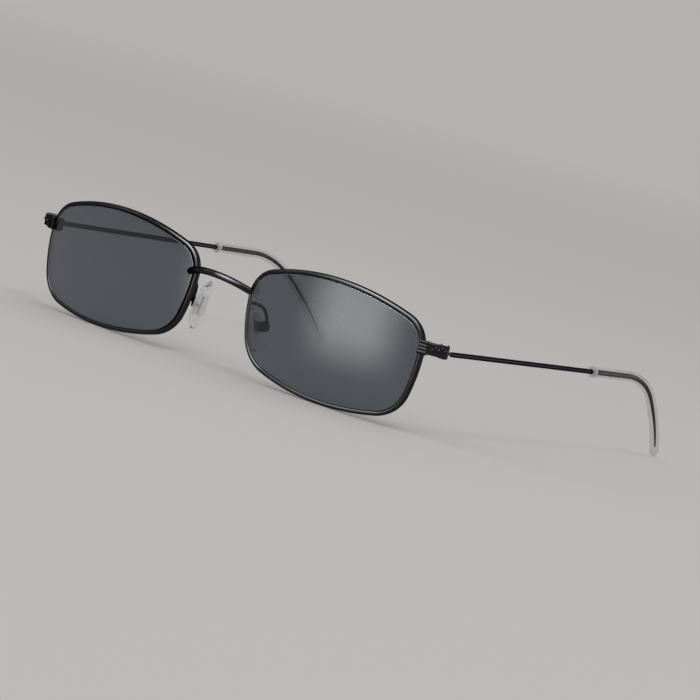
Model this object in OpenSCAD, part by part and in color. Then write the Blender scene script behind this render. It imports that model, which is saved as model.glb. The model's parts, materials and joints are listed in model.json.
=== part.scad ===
// Wire-frame sunglasses with soft rectangular tinted lenses, in mm.
// They rest on z = 0 on the rims and the tip ends, centred on x = 0 and y = 0.
// The front faces -y, the temples run back to +y.
// "left" is the wearer's left, on the +x side.

/* [Front] */
// width of one rim over its outer edges
rim_w = 54.9; // [51:0.1:58]
// height of one rim over its outer edges
rim_h = 33.3; // [31:0.1:36]
// distance between the two lens centres
lens_spacing = 73.1; // [71.5:0.1:76]
// radius of the sphere that lenses and rims follow
base_r = 117; // [100:1:200]
// angle by which each lens is turned back at the temple side
face_wrap = 3.75; // [1:0.25:6]

/* [Rim wire] */
// wire size across the rim
wire_w = 1.25; // [1.1:0.05:1.5]
// wire size from front to back
wire_d = 1.9; // [1.8:0.05:2.4]
// depth of the lens groove
groove_depth = 0.5; // [0.4:0.05:0.6]
// width of the lens groove at its mouth
groove_w = 0.8; // [0.7:0.05:0.9]

/* [Lens] */
// lens thickness
lens_t = 1.7; // [1.4:0.1:1.8]
// thickness of the lens flange in the groove
flange_t = 0.4; // [0.3:0.05:0.5]

/* [Bridge] */
// bridge bar diameter
bridge_d = 1.85; // [1.6:0.05:2.1]
// how far the bridge bulges forward
bridge_forward = 4.2; // [3:0.1:5]
// how far the bridge arches up
bridge_up = 2.2; // [1.5:0.1:3]

/* [Hinge] */
// hinge axis outside the rim's outer edge
hinge_gap = 3.0; // [2.7:0.1:3.4]
// hinge axis behind the lens centres
hinge_back = 9.0; // [8.8:0.1:9.4]
// barrel diameter
barrel_d = 2.4; // [2.2:0.1:2.6]
// hinge screw diameter
screw_d = 1.0; // [0.8:0.1:1.2]
// thickness of the temple's hinge eye
eye_t = 0.8; // [0.7:0.05:1]

/* [Temple] */
// temple wire diameter
rod_d = 1.35; // [1.2:0.05:1.6]
// diameter of the same wire inside the clear tip
core_d = 0.8; // [0.6:0.05:1]
// hinge axis to the start of the clear tip
rod_len = 75.4; // [70:0.1:82]
// angle of the temple below square to the front
drop_angle = 3.23; // [2:0.1:5]

/* [Tip] */
// straight covered length ahead of the bend
tip_straight = 20.3; // [16:0.1:24]
// radius of the ear bend
bend_r = 31.6; // [26:0.2:40]
// angle of the ear bend
bend_angle = 36; // [30:1:42]
// length of the end leg
leg_len = 26; // [22:0.5:30]
// inward lean of the bent part
tip_lean = 13.8; // [8:0.2:18]
// tip diameter
tip_d = 2.95; // [2.6:0.05:3.3]

/* [Nose pads] */
// pad height
pad_h = 14.6; // [12:0.1:15]
// pad width
pad_w = 7.4; // [6.5:0.1:8]
// pad thickness
pad_t = 2.3; // [2:0.1:2.6]
// diameter of the round box behind each pad
box_d = 2.9; // [2.6:0.1:3.2]
// pad arm wire diameter
arm_d = 0.9; // [0.7:0.05:1]

/* [Hidden] */
$fn = 48;

fit = 0.02;          // gap between pieces that are brazed or seated
run = 0.05;          // running clearance of the hinges
metal = [0.16, 0.16, 0.17];
steel = [0.55, 0.56, 0.58];
tint = [0.28, 0.3, 0.33, 0.75];
clear = [0.86, 0.88, 0.88, 0.6];

// Rim outline in the lens plane: x outward, z up. Four side arcs [centre x, centre z, radius].
top_r = 68;
outer_r = 44.2;
bottom_r = 74;
nose_r = 40.2;
top_x = -0.4;
outer_z = 3.8;
bottom_x = 2.5;
nose_z = 5.8;
corner_top_out = 8.8;
corner_low_out = 10.3;
corner_low_in = 11.5;
corner_top_in = 8.3;
sides = [[top_x, rim_h / 2 - top_r, top_r], [rim_w / 2 - outer_r, outer_z, outer_r],
  [bottom_x, bottom_r - rim_h / 2, bottom_r], [nose_r - rim_w / 2, nose_z, nose_r]];
corner_rs = [corner_top_out, corner_low_out, corner_low_in, corner_top_in];
corner_to = [[1, 1], [1, -1], [-1, -1], [-1, 1]];

function hub(i) = [sides[i % 4][0], sides[i % 4][1]];
function angle_of(v) = atan2(v[1], v[0]);
function below(a, ref) = a > ref ? a - 360 : a;
function circles_meet(a, b, ra, rb, toward) =
  let(d = norm(b - a), u = (b - a) / d, t = (ra * ra - rb * rb + d * d) / (2 * d),
      h = sqrt(max(0, ra * ra - t * t)), n = [-u[1], u[0]], p = a + u * t + n * h, q = a + u * t - n * h)
  p * toward > q * toward ? p : q;
function corner(i) = circles_meet(hub(i), hub(i + 1), sides[i][2] - corner_rs[i],
  sides[(i + 1) % 4][2] - corner_rs[i], corner_to[i]);
corners = [for (i = [0:3]) corner(i)];
function side_from(i) = angle_of(corners[(i + 3) % 4] - hub(i));
function side_to(i) = below(angle_of(corners[i] - hub(i)), side_from(i));
function corner_until(i) = below(angle_of(corners[i] - hub(i + 1)), angle_of(corners[i] - hub(i)));
// stations [x, z, outward x, outward z] on an arc
function arc_at(c, r, a0, a1, n, extra = 0) = [for (k = [0:n - 1 + extra])
  let(a = a0 + (a1 - a0) * k / n) [c[0] + r * cos(a), c[1] + r * sin(a), cos(a), sin(a)]];
function side_at(i, a0, a1, n, extra = 0) = arc_at(hub(i), sides[i][2], a0, a1, n, extra);
function corner_at(i, n) = arc_at(corners[i], corner_rs[i], angle_of(corners[i] - hub(i)), corner_until(i), n);

// The rim is split at the foot of its top outer corner, behind the cuff of the end piece.
split_gap = 0.2;
split_a = corner_until(0) + 4.4;
split_x = corners[0][0] + corner_top_out * cos(split_a);
split_z = corners[0][1] + corner_top_out * sin(split_a);
gap_a = split_gap / 2 / corner_top_out * 180 / PI;
side_n = 14;
corner_n = 10;
rim_stations = concat(arc_at(corners[0], corner_top_out, split_a - gap_a, corner_until(0), 2),
  side_at(1, side_from(1), side_to(1), 8), corner_at(1, corner_n),
  side_at(2, side_from(2), side_to(2), side_n), corner_at(2, corner_n),
  side_at(3, side_from(3), side_to(3), 8), corner_at(3, corner_n),
  side_at(0, side_from(0), side_to(0), side_n),
  arc_at(corners[0], corner_top_out, angle_of(corners[0] - hub(0)), split_a + gap_a, corner_n, 1));

function base_y(x, z) = base_r - sqrt(base_r * base_r - x * x - z * z);
half_d = wire_d / 2;
// half the outside of the wire section, in parts of wire_w and half_d
wire_half = [[0, 0.22], [-0.032, 0.48], [-0.12, 0.72], [-0.288, 0.9], [-0.496, 1], [-0.72, 0.98],
  [-0.896, 0.84], [-1, 0.6]];
function wire_scaled(p) = [p[0] * wire_w, p[1] * half_d];
wire_profile = concat([for (p = wire_half) wire_scaled(p)],
  [[-wire_w, groove_w / 2], [groove_depth - wire_w, groove_w * 0.4],
   [groove_depth - wire_w, -groove_w * 0.4], [-wire_w, -groove_w / 2]],
  [for (i = [7:-1:0]) let(p = wire_scaled(wire_half[i])) [p[0], -p[1]]]);
function on_rim(s, q) = let(x = s[0] + q[0] * s[2], z = s[1] + q[0] * s[3]) [x, base_y(x, z) + q[1], z];

// A closed skin through rings of points, flat at both ends.
module loft(rings) {
  n = len(rings[0]);
  m = len(rings);
  skin = [for (i = [0:m - 2], j = [0:n - 1])
    let(k = (j + 1) % n, a = i * n + j, b = i * n + k, c = a + n, d = b + n)
    each [[a, c, b], [b, c, d]]];
  polyhedron(points = [for (r = rings) each r],
    faces = concat(skin, [[for (j = [0:n - 1]) j]], [[for (j = [n - 1:-1:0]) (m - 1) * n + j]]),
    convexity = 8);
}

module lens_frame() translate([lens_spacing / 2, 0, 0]) rotate([0, 0, face_wrap]) children();
function lens_to_front(p) = [lens_spacing / 2 + p[0] * cos(face_wrap) - p[1] * sin(face_wrap),
  p[0] * sin(face_wrap) + p[1] * cos(face_wrap), p[2]];

module rim() color(metal) lens_frame()
  loft([for (k = [len(rim_stations) - 1:-1:0]) [for (q = wire_profile) on_rim(rim_stations[k], q)]]);

// Lens: a slice of the base sphere, with a thin flange that sits in the rim groove.
lens_in = wire_w + 0.04;
flange_in = wire_w - groove_depth + 0.05;
module outline(inset) polygon([for (s = concat(side_at(1, side_from(1), side_to(1), 12), corner_at(1, 8),
  side_at(2, side_from(2), side_to(2), side_n), corner_at(2, 8), side_at(3, side_from(3), side_to(3), 12),
  corner_at(3, 8), side_at(0, side_from(0), side_to(0), side_n), corner_at(0, 8)))
  [s[0] - inset * s[2], s[1] - inset * s[3]]]);
module base_shell(t) translate([0, base_r, 0]) rotate([-90, 0, 0]) rotate_extrude($fn = 128)
  intersection() {
    difference() {
      circle(base_r + t / 2, $fn = 256);
      circle(base_r - t / 2, $fn = 256);
    }
    translate([0, -base_r - lens_t]) square([norm([rim_w, rim_h]) / 2, base_r / 6]);
  }
module sphere_slice(inset, t) intersection() {
  translate([0, base_r / 9, 0]) rotate([90, 0, 0]) linear_extrude(base_r / 7) outline(inset);
  base_shell(t);
}
module lens() color(tint) lens_frame() union() {
  sphere_slice(lens_in, lens_t);
  sphere_slice(flange_in, flange_t);
}

// Bridge: a round bar bent to one arc, in a plane that leans forward, cut flat where it lies on the rims.
bridge_z = 5.9;
bridge_y = -0.3;
bridge_half = lens_spacing / 2 - rim_w / 2 + 1.45;
bridge_rise = norm([bridge_forward, bridge_up]);
bridge_arc_r = (bridge_half * bridge_half + bridge_rise * bridge_rise) / (2 * bridge_rise);
bridge_half_a = asin(bridge_half / bridge_arc_r);
nose_edge = let(z = bridge_z + 0.4) [sides[3][0] - sqrt(nose_r * nose_r - (z - sides[3][1]) ^ 2), z];
nose_slope = -asin(-nose_edge[0] / base_r);
module bridge() color(metal) difference() {
  translate([0, bridge_y, bridge_z]) rotate([-atan2(bridge_up, bridge_forward), 0, 0])
    translate([0, bridge_arc_r - bridge_rise, 0]) rotate([0, 0, -90 - bridge_half_a])
    rotate_extrude(angle = 2 * bridge_half_a) translate([bridge_arc_r, 0]) circle(bridge_d / 2);
  for (m = [0, 1]) mirror([m, 0, 0]) lens_frame()
    translate([nose_edge[0], base_y(nose_edge[0], nose_edge[1]), nose_edge[1]]) rotate([0, 0, nose_slope])
    translate([-6, -half_d - fit, -6]) cube([12, 6, 12]);
}

// Place on the rim at the split: x outward along the lens surface, y back, z up.
split_y = base_y(split_x, split_z);
split_turn = face_wrap + asin(split_x / base_r);
split_at = lens_to_front([split_x, split_y, split_z]);
module at_split() translate(split_at) rotate([0, 0, split_turn]) children();

// End piece: ribbed cuff over the front of the rim, arm that turns back, and a forked hinge barrel.
block_h = 3.1;
block_t = 2.2;
block_z = split_z + 0.3;
cuff_in = 1.55;
cuff_out = 0.9;
cuff_h = block_h + 0.6;
cuff_corner = 0.9;
cuff_t = 0.75;
cuff_back = -half_d - 0.08;
arm_mid = -0.2;
turn_r = 3.0;
hinge_out = lens_spacing / 2 + rim_w / 2 + hinge_gap;
block_x = hinge_out + barrel_d / 3;
arm_x = split_at[0] + cuff_out * cos(split_turn) - arm_mid * sin(split_turn);
arm_y = split_at[1] + cuff_out * sin(split_turn) + arm_mid * cos(split_turn);
arm_len = (block_x - arm_x - turn_r * (1 - sin(split_turn))) / cos(split_turn);
turn_y = arm_y + arm_len * sin(split_turn) + turn_r * cos(split_turn);
block_end = hinge_back - 0.4;
hinge_z = block_z - 0.75;
barrel_bottom = hinge_z - 1.3;
barrel_top = block_z + block_h / 2;
head_d = 1.6;
head_t = 0.35;
stud_a = [-68, -55, -42, -30, -16];
stud_z = [-0.1, 0.65, 0.15, 0.85, 0.3];
stud_r = [0.32, 0.32, 0.5, 0.32, 0.32];
// rib section: y, z
rib_d = 0.22;
rib_z = 0.85;
cuff_front = cuff_back - cuff_t;
module cuff_section() polygon(concat(
  [[cuff_back, cuff_h / 2], [cuff_front + 0.25, cuff_h / 2], [cuff_front, cuff_h / 2 - 0.25]],
  [for (z = [rib_z, 0, -rib_z]) each [[cuff_front, z + rib_d], [cuff_front + rib_d, z + 0.05],
    [cuff_front + rib_d, z - 0.05], [cuff_front, z - rib_d]]],
  [[cuff_front, 0.25 - cuff_h / 2], [cuff_front + 0.25, -cuff_h / 2], [cuff_back, -cuff_h / 2]]));
// the cuff seen from the front, round at its upper inner corner
module cuff_outline() translate([-cuff_in, -cuff_h / 2]) {
  square([cuff_in + cuff_out, cuff_h - cuff_corner]);
  translate([cuff_corner, 0]) square([cuff_in + cuff_out - cuff_corner, cuff_h]);
  translate([cuff_corner, cuff_h - cuff_corner]) circle(cuff_corner);
}
module end_piece() color(metal) difference() {
  union() {
    at_split() translate([0, 0, block_z - split_z]) {
      intersection() {
        translate([-cuff_in, 0, 0]) rotate([90, 0, 90]) linear_extrude(cuff_in + cuff_out) cuff_section();
        rotate([90, 0, 0]) linear_extrude(3) cuff_outline();
      }
      translate([fit + 0.06, cuff_front + 0.4, -block_h / 2]) cube([cuff_out - 0.08, 2.2, block_h]);
      translate([cuff_out - 0.2, arm_mid - block_t / 2, -block_h / 2]) cube([arm_len + 0.22, block_t, block_h]);
    }
    translate([block_x - turn_r, turn_y, block_z - block_h / 2]) rotate([0, 0, split_turn - 90])
      rotate_extrude(angle = 90 - split_turn) translate([turn_r - block_t / 2, 0]) square([block_t, block_h]);
    translate([block_x - block_t / 2, turn_y - 0.01, block_z - block_h / 2])
      cube([block_t, max(0.05, block_end - turn_y + 0.01), block_h]);
    translate([hinge_out, hinge_back, barrel_bottom]) cylinder(h = barrel_top - barrel_bottom, d = barrel_d);
    for (i = [0:4]) translate([block_x - turn_r, turn_y, block_z + stud_z[i]]) rotate([0, 0, stud_a[i]])
      translate([turn_r + block_t / 2 - 0.1, 0, 0]) rotate([0, 90, 0])
      cylinder(h = 0.2 + stud_r[i] / 3, r1 = stud_r[i], r2 = stud_r[i] * 0.6, $fn = 24);
  }
  translate([hinge_out, hinge_back, hinge_z - eye_t / 2 - run])
    cylinder(h = eye_t + 2 * run, d = barrel_d + 0.2);
  translate([hinge_out, hinge_back, barrel_bottom - 1]) cylinder(h = 8, d = screw_d + 2 * run);
  translate([hinge_out, hinge_back, barrel_top - head_t - fit]) cylinder(h = 1, d = head_d + 2 * run);
}

// Rim lock: a block on each end of the rim, drawn together by an upright screw.
lock_h = 1.55;
lock_in = -1.5;
lock_w = 2.1;
lock_d = 1.85;
lock_screw_x = lock_in + lock_w / 2;
lock_screw_y = half_d + fit + lock_d / 2 + 0.05;
lock_screw_d = 0.9;
module lock_block(up) color(metal) at_split() translate([0, 0, up * split_gap / 2]) difference() {
  translate([lock_in, half_d + fit, up > 0 ? 0 : -lock_h]) cube([lock_w, lock_d, lock_h]);
  translate([lock_screw_x, lock_screw_y, -3]) cylinder(h = 6, d = lock_screw_d + 2 * fit);
  translate([lock_in - 1, half_d + lock_d - 0.25, up * lock_h]) rotate([up * 45, 0, 0])
    translate([0, 0, -0.5]) cube([lock_w + 2, 2, 1]);
}
module lock_screw() color(steel) at_split() translate([lock_screw_x, lock_screw_y, -split_gap / 2 - lock_h])
  difference() {
    union() {
      translate([0, 0, 0.1]) cylinder(h = 2 * lock_h + split_gap - 0.2, d = lock_screw_d);
      translate([0, 0, -0.45 - fit]) cylinder(h = 0.45, d = 1.5);
      translate([0, 0, -0.2]) cylinder(h = 0.5, d = lock_screw_d);
    }
    translate([0, 0, -0.5]) cube([2, 0.22, 0.4], center = true);
  }

// The hinge screw's slotted head is sunk into the top of the barrel.
module hinge_screw() color(steel) translate([hinge_out, hinge_back, barrel_top]) difference() {
  union() {
    translate([0, 0, barrel_bottom - barrel_top - 0.05]) cylinder(h = barrel_top - barrel_bottom, d = screw_d);
    translate([0, 0, -head_t]) cylinder(h = head_t, d = head_d);
  }
  cube([2, 0.25, 0.3], center = true);
}

// Temple: eye and neck in the fork, then the round wire, which runs on as a tapering core inside the tip.
neck_len = 3.6;
neck_w = 1.0;
neck_t = 0.6;
rod_r = rod_d / 2;
bend_from = rod_len + tip_straight;
leg_r = 105;
leg_angle = leg_len / leg_r * 180 / PI;
bend_len = bend_r * bend_angle * PI / 180;
path_len = bend_from + bend_len + leg_len;
// place on the temple centreline at length s: [y, z, downward angle]
function path_at(s) = s < bend_from ? [s, 0, 0]
  : let(a = min(bend_angle, (s - bend_from) / bend_r * 180 / PI),
        y = bend_from + bend_r * sin(a), z = -bend_r * (1 - cos(a)), t = s - bend_from - bend_len)
    t < 0 ? [y, z, a]
    : let(b = t / leg_r * 180 / PI)
      [y + leg_r * (sin(bend_angle + b) - sin(bend_angle)),
       z - leg_r * (cos(bend_angle) - cos(bend_angle + b)), bend_angle + b];
// ring of n points round the path, across and in the bend plane
function path_ring(s, across, along, n) = let(p = path_at(s), a = p[2]) [for (k = [0:n - 1])
  let(t = -360 * k / n, u = across * cos(t), v = along * sin(t)) [u, p[0] + v * sin(a), p[1] + v * cos(a)]];
core_from = rod_len - 0.7;
core_end = path_len - 4;
core_end_r = 0.16;
function core_r(s) = core_d / 2 - (core_d / 2 - core_end_r) * pow((s - core_from) / (core_end - core_from), 3);
core_n = 20;
core_s = [for (i = [0:core_n]) core_from + (core_end - core_from) * i / core_n];
module in_temple() translate([hinge_out, hinge_back, hinge_z]) rotate([-drop_angle, 0, 0]) children();
module lean() rotate([0, tip_lean, 0]) children();
module temple() color(metal) union() {
  difference() {
    translate([hinge_out, hinge_back, hinge_z - eye_t / 2]) union() {
      cylinder(h = eye_t, d = barrel_d);
      translate([-neck_w / 2, 0, (eye_t - neck_t) / 2]) cube([neck_w, neck_len + 0.5, neck_t]);
    }
    translate([hinge_out, hinge_back, hinge_z]) cylinder(h = 3 * eye_t, d = screw_d + 2 * run, center = true);
  }
  in_temple() {
    translate([0, neck_len, 0]) rotate([-90, 0, 0]) cylinder(h = 0.35, r1 = rod_r - 0.2, r2 = rod_r);
    translate([0, neck_len + 0.35, 0]) rotate([-90, 0, 0]) cylinder(h = core_from + 1 - neck_len - 0.35, r = rod_r);
    lean() loft([for (s = core_s) path_ring(s, core_r(s), core_r(s), 14)]);
  }
}

// Clear tip: a collar, the covered straight, the ear bend and a rounded leg, with a blind bore for the core.
tip_r = tip_d / 2;
// [length from the collar face, half size across, half size in the bend plane]
tip_shape = concat(
  [[0, 1.3, 1.3], [0.12, 1.52, 1.52], [0.35, 1.6, 1.6], [1.0, 1.6, 1.6], [1.3, 1.5, 1.5], [1.5, 1.4, 1.4],
   [2.4, 1.44, 1.44]],
  [for (i = [1:4]) [2.4 + i * (tip_straight - 2.4) / 4, 1.45 - 0.02 * i, 1.45 - 0.01 * i]],
  [for (i = [1:10]) [tip_straight + bend_len * i / 10, 1.37 - 0.014 * i, 1.41 + 0.012 * i]],
  [for (i = [1:6]) [tip_straight + bend_len + (leg_len - 2.2) * i / 6, 1.23, 1.53 + 0.02 * i]],
  [for (a = [15:15:75]) [tip_straight + bend_len + leg_len - 2.2 + 2.2 * sin(a), 1.23 * cos(a), 1.65 * cos(a)]],
  [[tip_straight + bend_len + leg_len - 0.02, 0.16, 0.2]]);
bore_gap = 0.03;
bore = concat([for (i = [core_n:-1:0]) [core_s[i] + (i == core_n ? 0.05 : 0), core_r(core_s[i]) + bore_gap]],
  [[core_from + 1.01, core_r(core_from + 1.01) + bore_gap], [core_from + 1.03, rod_r + bore_gap], [rod_len, rod_r + bore_gap]]);
bore_rings = [for (i = [0:core_n - 1]) path_ring(bore[i][0], bore[i][1], bore[i][1], 16)];
neck_rings = [for (i = [core_n + 1:len(bore) - 1]) path_ring(bore[i][0], bore[i][1], bore[i][1], 16)];
tip_rings = [for (p = tip_shape) path_ring(rod_len + p[0], p[1] * tip_r / 1.475, p[2] * tip_r / 1.475, 16)];
module tip() color(clear) in_temple() lean() loft(concat(
  [for (i = [0:core_n - 2]) bore_rings[i]], neck_rings, tip_rings));

// Nose pad, its stem, the round box and the arm. Pad frame: x to the nose, y back, z up.
pad_in = 2.8;
box_at = [-(lens_spacing / 2 - rim_w / 2 + pad_in), 7.5, -3.0];
pad_splay = 9;        // the back edges stand apart
pad_flare = 13;       // the tops lean to the nose
pad_tilt = 12;        // the feet stand further back
stem_w = 1.0;
stem_t = 0.9;
pin_d = 0.6;
box_wall = 0.3;
box_back = stem_w / 2 + run + box_wall;
box_front = 0.65;
pad_off = 2.15;
pad_fore = 0.8;
pad_up = 0.7;
module at_box() mirror([1, 0, 0]) translate(box_at) rotate([pad_tilt, pad_flare, pad_splay]) children();
module pad_box() color(metal) at_box() difference() {
  rotate([0, 90, 0]) translate([0, 0, -box_back]) cylinder(h = box_back + box_front, d = box_d);
  translate([box_wall - box_back, -stem_t / 2 - run, -box_d]) cube([box_d, stem_t + 2 * run, 2 * box_d]);
  rotate([90, 0, 0]) translate([0, 0, -3]) cylinder(h = 6, d = pin_d + 2 * fit);
}
module pad_pin() color(steel) at_box() rotate([90, 0, 0]) cylinder(h = box_d - 0.4, d = pin_d, center = true);
plate_t = 0.5;
plate_x = pad_off - 0.1;
module stem_plate(grow) translate([plate_x - plate_t / 2 - grow, -pad_fore, pad_up]) rotate([0, 90, 0])
  linear_extrude(plate_t + 2 * grow) union() {
    square([4, 2.4 + 2 * grow], center = true);
    for (s = [-1, 1]) translate([2 * s, 0]) circle(1.2 + grow);
  }
module pad_stem() color(steel) at_box() difference() {
  union() {
    stem_plate(0);
    translate([0, -stem_t / 2, -stem_w / 2]) cube([plate_x, stem_t, stem_w]);
    rotate([90, 0, 0]) cylinder(h = stem_t, d = stem_w, center = true);
  }
  rotate([90, 0, 0]) cylinder(h = 6, d = pin_d + 2 * run, center = true);
}
pad_n = 20;
function pad_ring(h) = let(k = h / (pad_h / 2), w = pad_w / 2 * sqrt(max(0, 1 - k * k)) ^ 0.85 * (1 - 0.12 * k),
    t = pad_t / 2 * pow(max(0, 1 - pow(abs(k), 3)), 0.55))
  [for (j = [0:pad_n - 1]) let(a = 360 * j / pad_n, c = cos(a), s = sin(a))
    [pad_off + t * sign(c) * pow(abs(c), 0.8) - 0.12 * w * s * s, w * s - pad_fore, h + pad_up]];
pad_levels = [for (a = [-86, -78, -68, -56, -44, -32, -20, -8, 4, 16, 28, 40, 52, 64, 76, 86]) pad_h / 2 * sin(a)];
module pad() color(clear) at_box() difference() {
  loft([for (h = pad_levels) pad_ring(h)]);
  stem_plate(fit);
  translate([0, -stem_t / 2 - fit, -stem_w / 2 - fit]) cube([plate_x, stem_t + 2 * fit, stem_w + 2 * fit]);
}

// Pad arm: a wire from the back of the rim, back over a small arc and down to the back of the box.
arm_root = [lens_spacing / 2 - rim_w / 2 + 0.85, 2.3, 2.7];
arm_behind = -box_back - arm_d / 2 - 3 * fit;
function box_to_front(p) = let(b = p[1] * cos(pad_tilt) - p[2] * sin(pad_tilt),
    u = p[1] * sin(pad_tilt) + p[2] * cos(pad_tilt), x = p[0] * cos(pad_flare) + u * sin(pad_flare),
    z = u * cos(pad_flare) - p[0] * sin(pad_flare))
  [-box_at[0] - x * cos(pad_splay) + b * sin(pad_splay), box_at[1] + x * sin(pad_splay) + b * cos(pad_splay),
   box_at[2] + z];
arm_end = box_to_front([arm_behind, 0, -0.5]);
function bezier(p, t) = pow(1 - t, 3) * p[0] + 3 * t * pow(1 - t, 2) * p[1] + 3 * t * t * (1 - t) * p[2] + pow(t, 3) * p[3];
arm_top = [arm_root[0] + 1.7, 5.3, 2.2];
arm_pts = concat([for (k = [0:7]) bezier([arm_root, arm_root + [0.2, 1.2, 0.3], arm_top - [0.6, 1.1, -0.5], arm_top], k / 8)],
  [for (k = [0:8]) bezier([arm_top, arm_top + [0.7, 1.3, -0.6], box_to_front([arm_behind, 0, 2.4]), arm_end], k / 8)]);
function unit(v) = v / norm(v);
function wire_ring(p, t, r, n) = let(a = unit(cross([1, 0, 0], t)), b = cross(t, a))
  [for (j = [0:n - 1]) let(w = 360 * j / n) p + r * (cos(w) * a + sin(w) * b)];
function wire_dir(i) = unit(arm_pts[min(i + 1, len(arm_pts) - 1)] - arm_pts[max(i - 1, 0)]);
module pad_arm() color(metal)
  loft([for (i = [0:len(arm_pts) - 1]) wire_ring(arm_pts[i], wire_dir(i), arm_d / 2, 12)]);

// Resting attitude: the tilt at which the lowest rim point and the lowest tip point are level.
function turned_z(p, a) = p[1] * sin(a) + p[2] * cos(a);
function turned_y(p, a) = p[1] * cos(a) - p[2] * sin(a);
rim_low = [for (s = rim_stations, q = wire_profile) if (s[1] < 0) lens_to_front(on_rim(s, q))];
function tip_to_front(p) = let(x = p[0] * cos(tip_lean) + p[2] * sin(tip_lean),
    z = -p[0] * sin(tip_lean) + p[2] * cos(tip_lean))
  [x + hinge_out, p[1] * cos(drop_angle) + z * sin(drop_angle) + hinge_back,
   -p[1] * sin(drop_angle) + z * cos(drop_angle) + hinge_z];
tip_low = [for (i = [len(tip_rings) - 10:len(tip_rings) - 1]) each [for (p = tip_rings[i]) tip_to_front(p)]];
function lowest(pts, a) = min([for (p = pts) turned_z(p, a)]);
function level_tilt(lo, hi, n) = let(a = (lo + hi) / 2)
  n == 0 ? a : lowest(tip_low, a) < lowest(rim_low, a) ? level_tilt(a, hi, n - 1) : level_tilt(lo, a, n - 1);
front_tilt = level_tilt(-5, 15, 24);
lift = -lowest(rim_low, front_tilt);
foremost = turned_y([0, bridge_y - bridge_forward, bridge_z + bridge_up], front_tilt) - bridge_d / 2;
rearmost = max([for (p = tip_low) turned_y(p, front_tilt)]);
mid_y = (foremost + rearmost) / 2;
module stand() translate([0, -mid_y, lift]) rotate([front_tilt, 0, 0]) children();
module left() stand() children();
module right() stand() mirror([1, 0, 0]) children();

left() rim();  // left_rim
right() rim();  // right_rim
left() lens();  // left_lens
right() lens();  // right_lens
stand() bridge();
left() end_piece();  // left_end_piece
right() end_piece();  // right_end_piece
left() lock_block(1);  // left_lock_upper
right() lock_block(1);  // right_lock_upper
left() lock_block(-1);  // left_lock_lower
right() lock_block(-1);  // right_lock_lower
left() lock_screw();  // left_lock_screw
right() lock_screw();  // right_lock_screw
left() hinge_screw();  // left_hinge_screw
right() hinge_screw();  // right_hinge_screw
left() temple();  // left_temple
right() temple();  // right_temple
left() tip();  // left_tip
right() tip();  // right_tip
left() pad_arm();  // left_pad_arm
right() pad_arm();  // right_pad_arm
left() pad_box();  // left_pad_box
right() pad_box();  // right_pad_box
left() pad_pin();  // left_pad_pin
right() pad_pin();  // right_pad_pin
left() pad_stem();  // left_pad_stem
right() pad_stem();  // right_pad_stem
left() pad();  // left_pad
right() pad();  // right_pad
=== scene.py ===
# %% [markdown]
# # Wire-frame sunglasses, piece by piece
# A pair of wire-frame sunglasses is a small machine. Two bent wires hold two curved lenses, a
# bar joins them, and a fork hinge at each side carries a long thin temple.
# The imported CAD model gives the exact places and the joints. It could be rendered as it is,
# but its wires have few sides and its edges are hard. So this lesson dresses it: each step
# makes one kind of piece with a finer surface, gives it a finish and lets it ride on its body.

# %% Load the CAD frame
import bpy
import bmesh
import json
import math
import numpy as np
from mathutils import Matrix, Vector


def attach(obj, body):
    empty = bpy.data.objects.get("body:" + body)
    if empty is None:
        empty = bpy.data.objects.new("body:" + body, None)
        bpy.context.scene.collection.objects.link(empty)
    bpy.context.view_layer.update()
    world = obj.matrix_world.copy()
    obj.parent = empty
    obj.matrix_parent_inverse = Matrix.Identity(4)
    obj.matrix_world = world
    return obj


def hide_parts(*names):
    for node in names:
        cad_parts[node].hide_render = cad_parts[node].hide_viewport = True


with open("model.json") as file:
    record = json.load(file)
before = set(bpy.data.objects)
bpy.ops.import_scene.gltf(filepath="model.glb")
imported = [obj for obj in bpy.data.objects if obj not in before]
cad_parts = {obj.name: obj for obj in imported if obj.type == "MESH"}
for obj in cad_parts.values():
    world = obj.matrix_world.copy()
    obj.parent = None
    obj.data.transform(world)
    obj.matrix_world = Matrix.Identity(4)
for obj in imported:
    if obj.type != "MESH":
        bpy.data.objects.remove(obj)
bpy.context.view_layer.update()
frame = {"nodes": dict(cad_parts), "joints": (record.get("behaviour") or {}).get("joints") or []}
MM = 0.001

# %% [markdown]
# ## Upright on the bench, leaning on the table
# The maker draws the front upright, in millimetres, with the origin between the two lenses.
# On a table the glasses lean back a little, until the rims and the ear tips both touch it,
# and the CAD model stands that way. The pieces could be drawn leaning at once, but then no
# size would be a plain one. So they are drawn upright, and `stand` leans them. The lean, the
# lift and the shift back are the CAD model's. The left hinge is known both ways, so it is
# printed both ways.

# %% Stand the upright front on the table
SIDES = {"left": 1, "right": -1}
HINGE = np.array([67.0, 9.0, 5.1544])
LEAN = math.radians(3.71212)
LIFT, BACK = 16.5377, 68.2879


def stand(points, side=1):
    """Takes points of the upright front, in mm, to the table, in metres. Side -1 mirrors."""
    x, y, z = (np.asarray(points, float).reshape(-1, 3) * [side, 1, 1]).T
    back = y * math.cos(LEAN) - z * math.sin(LEAN) - BACK
    up = y * math.sin(LEAN) + z * math.cos(LEAN) + LIFT
    return np.stack([x, back, up], 1) * MM


def stand_direction(vectors, side=1):
    """Turns directions as `stand` turns points, and leaves their length alone."""
    return stand(vectors, side) / MM - stand([[0, 0, 0]], side) / MM


fold = next(joint for joint in frame["joints"] if joint["name"] == "left_temple_fold")
print("left hinge in the CAD frame:", fold["pos_m"], "and here:", stand(HINGE)[0].round(6).tolist())
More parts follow.
